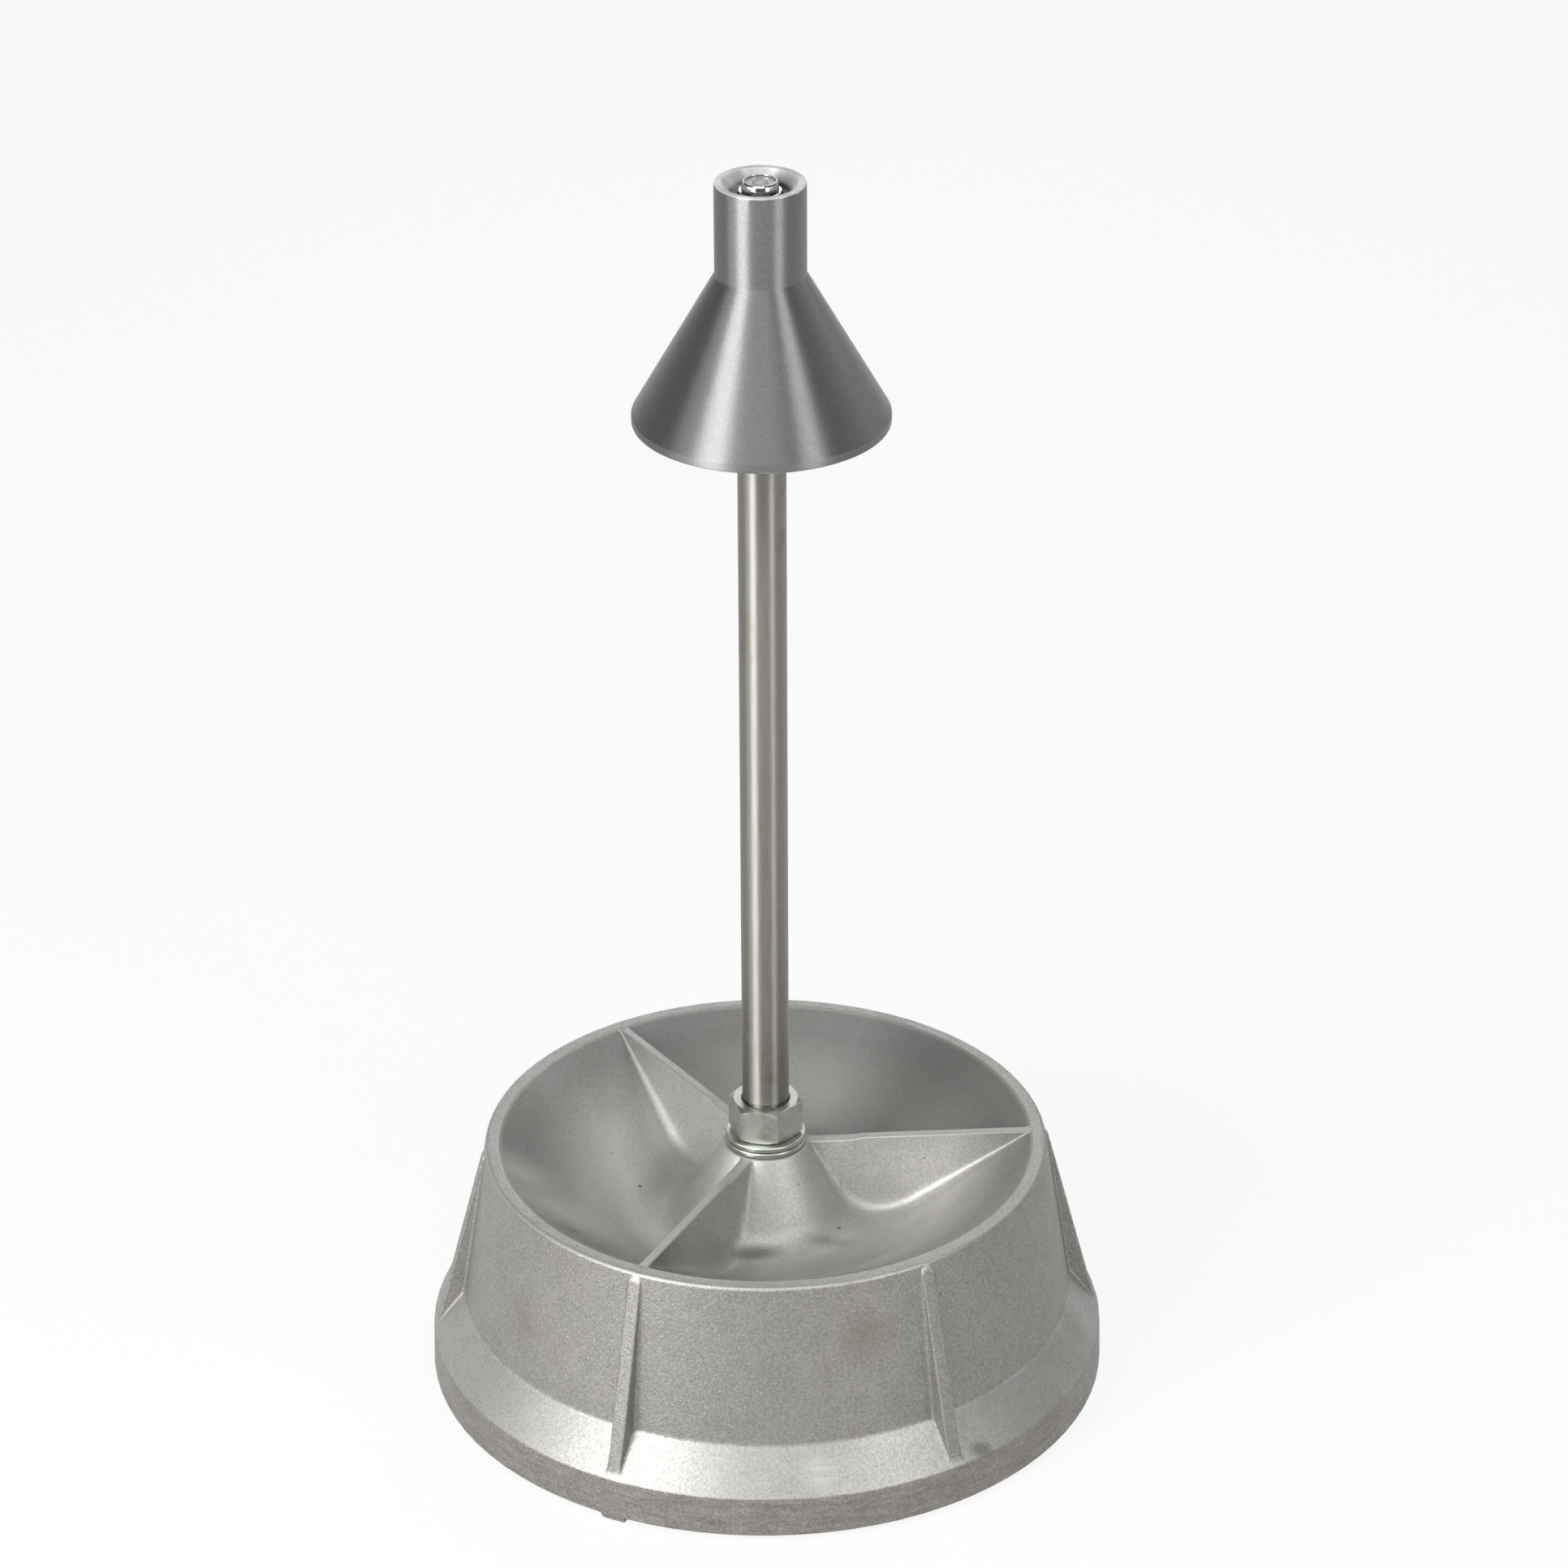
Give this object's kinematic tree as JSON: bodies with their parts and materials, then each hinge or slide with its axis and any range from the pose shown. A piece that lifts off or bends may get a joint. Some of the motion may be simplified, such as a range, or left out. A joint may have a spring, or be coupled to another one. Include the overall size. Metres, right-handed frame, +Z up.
{
  "type": "bubble wheel balancer",
  "caption": "Static wheel balancer: cast base with a weight tray, upright rod, and a tipping cone head with a round bubble level.",
  "frame": {"origin": "on the ground under the rod, in the middle of the three feet", "axes": "+Z up along the rod; +X along one tray rib"},
  "size_m": [0.299, 0.299, 0.5643],
  "materials": {
    "cast_aluminium": "sand cast, matt",
    "ground_steel": "drawn and rubbed bright",
    "zinc_plate": "zinc plated, greenish",
    "hard_steel": "hardened and ground",
    "turned_aluminium": "turned, fine tool lines",
    "bright_plate": "bright plated",
    "level_glass": "clear",
    "black_rubber": "matt",
    "pale_disc": "pale, satin",
    "level_liquid": "clear liquid",
    "black_ink": "black, matt"
  },
  "bodies": {
    "stand": {"base_casting": "cast_aluminium", "support_rod": "ground_steel", "lock_nut": "zinc_plate", "spring_washer": "zinc_plate", "flat_washer": "zinc_plate", "pivot_needle": "hard_steel", "air_bubble": "level_glass"},
    "pivot_cup": {"pivot_seat": "hard_steel"},
    "cup_holder": {"seat_holder": "hard_steel"},
    "head": {"balance_head": "turned_aluminium", "level_case": "bright_plate", "level_bezel": "bright_plate", "level_lens": "level_glass", "lens_gasket": "black_rubber", "target_ring": "black_ink", "level_backing": "pale_disc", "level_fluid": "level_liquid", "grip_ring": "black_rubber"},
    "level_screw_1": {"adjusting_screw_1": "hard_steel"},
    "level_screw_2": {"adjusting_screw_2": "hard_steel"},
    "level_screw_3": {"adjusting_screw_3": "hard_steel"}
  },
  "joints": [
    {"name": "head_tilt_x", "type": "hinge", "parent": "stand", "child": "pivot_cup", "pos_m": [0, 0, 0.5427], "axis": [1, 0, 0], "range_deg": [-4.8, 4.8]},
    {"name": "head_tilt_y", "type": "hinge", "parent": "pivot_cup", "child": "cup_holder", "pos_m": [0, 0, 0.5427], "axis": [0, 1, 0], "range_deg": [-4.8, 4.8]},
    {"name": "head_spin", "type": "hinge", "parent": "cup_holder", "child": "head", "pos_m": [0, 0, 0.5427], "axis": [0, 0, 1], "continuous": true},
    {"name": "adjusting_screw_1_turn", "type": "hinge", "parent": "head", "child": "level_screw_1", "pos_m": [0.006, 0, 0.552], "axis": [0, 0, 1], "range_deg": [-360, 360]},
    {"name": "adjusting_screw_2_turn", "type": "hinge", "parent": "head", "child": "level_screw_2", "pos_m": [-0.003, 0.0052, 0.552], "axis": [0, 0, 1], "range_deg": [-360, 360]},
    {"name": "adjusting_screw_3_turn", "type": "hinge", "parent": "head", "child": "level_screw_3", "pos_m": [-0.003, -0.0052, 0.552], "axis": [0, 0, 1], "range_deg": [-360, 360]}
  ]
}
